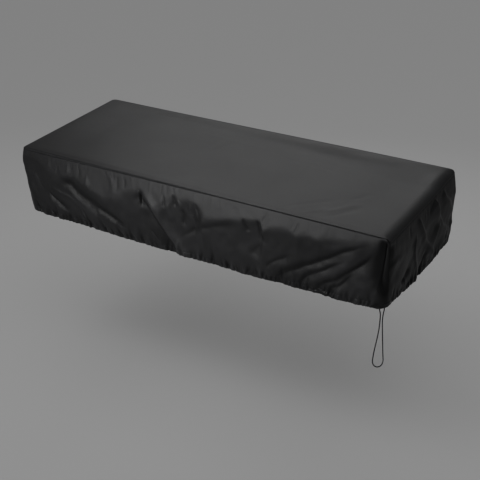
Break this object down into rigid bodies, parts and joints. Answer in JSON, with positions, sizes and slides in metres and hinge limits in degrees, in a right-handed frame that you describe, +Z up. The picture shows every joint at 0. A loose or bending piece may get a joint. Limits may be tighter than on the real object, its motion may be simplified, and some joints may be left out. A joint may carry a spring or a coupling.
{
  "type": "keyboard dust cover",
  "caption": "Fitted black nylon dust cover: a flat top panel, a skirt with a gathered drawcord hem, and a loop of cord hanging at a corner.",
  "frame": {"origin": "middle of the top panel's underside, where the covered keyboard carries the cover", "axes": "+X along the cover to the right, the front is at -Y, +Z up"},
  "size_m": [1.085, 0.4557, 0.3629],
  "materials": {
    "cover_nylon": "satin black coated nylon in a fine plain weave",
    "drawcord": "matt black braided cord"
  },
  "bodies": {
    "root": {"top_panel": "cover_nylon", "skirt": "cover_nylon", "drawcord": "drawcord"}
  },
  "joints": []
}
